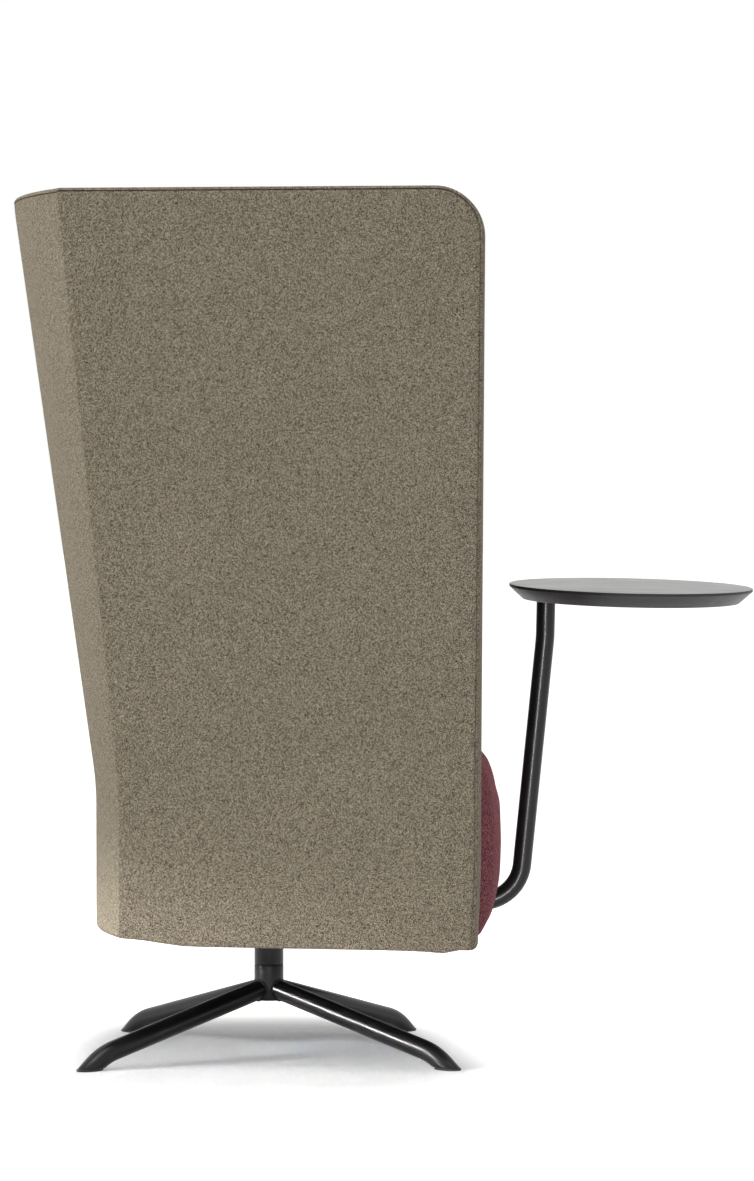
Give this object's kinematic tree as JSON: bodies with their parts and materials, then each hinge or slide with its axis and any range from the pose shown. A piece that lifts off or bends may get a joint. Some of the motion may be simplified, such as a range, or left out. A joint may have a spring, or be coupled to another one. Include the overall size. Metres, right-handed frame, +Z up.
{
  "type": "acoustic high back lounge chair",
  "caption": "Swivel lounge chair with a tall flared acoustic shell, upholstered seat and back, tubular star base and a swinging round tablet on a bent tube arm.",
  "frame": {"origin": "middle of the chair's footprint, on the floor, under the whole outline with the tablet at rest", "axes": "+Z up, +X the way the sitter faces, +Y the sitter's left"},
  "size_m": [1.0858, 0.7094, 1.229],
  "materials": {
    "shell_fabric": "taupe felted wool melange",
    "seat_fabric": "burgundy woven wool",
    "painted_steel": "black satin powder coat",
    "zinc_steel": "zinc plated",
    "black_nylon": "moulded matt black",
    "plywood": "raw birch plywood",
    "base_cloth": "black spun cloth",
    "table_laminate": "grey wood grain laminate with a black undercut edge"
  },
  "bodies": {
    "base": {"leg_front_right": "painted_steel", "leg_front_left": "painted_steel", "leg_rear_left": "painted_steel", "leg_rear_right": "painted_steel", "glide_front_right": "black_nylon", "glide_front_left": "black_nylon", "glide_rear_left": "black_nylon", "glide_rear_right": "black_nylon", "hub_tube": "painted_steel", "hub_cap": "black_nylon", "spindle_collar": "zinc_steel", "spindle": "zinc_steel", "thrust_washer": "black_nylon", "retaining_washer": "zinc_steel", "retaining_screw": "zinc_steel"},
    "seat": {"column_sleeve": "painted_steel", "lower_bush": "black_nylon", "upper_bush": "black_nylon", "seat_plate": "painted_steel", "plate_bolt_front_left": "zinc_steel", "plate_bolt_front_right": "zinc_steel", "plate_bolt_rear_left": "zinc_steel", "plate_bolt_rear_right": "zinc_steel", "seat_board": "plywood", "rail_front": "plywood", "rail_rear": "plywood", "rail_right": "plywood", "rail_left": "plywood", "base_cloth": "base_cloth", "seat_cushion": "seat_fabric", "back_cushion": "seat_fabric", "wing_cover_right": "shell_fabric", "wing_cover_left": "shell_fabric", "back_cover": "shell_fabric", "wing_core_right": "plywood", "wing_core_left": "plywood", "back_core": "plywood", "corner_bracket_low_right": "zinc_steel", "corner_bracket_low_left": "zinc_steel", "corner_bracket_high_right": "zinc_steel", "corner_bracket_high_left": "zinc_steel", "wing_pad_right": "shell_fabric", "wing_pad_left": "shell_fabric", "back_pad": "shell_fabric", "arm_clamp_front": "black_nylon", "arm_clamp_rear": "black_nylon", "clamp_bolt_front_inner": "zinc_steel", "clamp_bolt_front_outer": "zinc_steel", "clamp_bolt_rear_inner": "zinc_steel", "clamp_bolt_rear_outer": "zinc_steel", "arm_tube": "painted_steel", "arm_plug": "black_nylon", "arm_bush": "black_nylon"},
    "table": {"tabletop": "table_laminate", "table_plate": "painted_steel", "pivot_pin": "zinc_steel", "table_screw_1": "zinc_steel", "table_screw_2": "zinc_steel", "table_screw_3": "zinc_steel"}
  },
  "joints": [
    {"name": "seat_swivel", "type": "hinge", "parent": "base", "child": "seat", "pos_m": [-0.17681, -0.00535, 0.1258], "axis": [0, 0, 1], "continuous": true},
    {"name": "table_swivel", "type": "hinge", "parent": "seat", "child": "table", "pos_m": [0.23549, 0.17425, 0.64934], "axis": [0.0202, -0.0454, 0.9988], "range_deg": [-120, 45]}
  ]
}
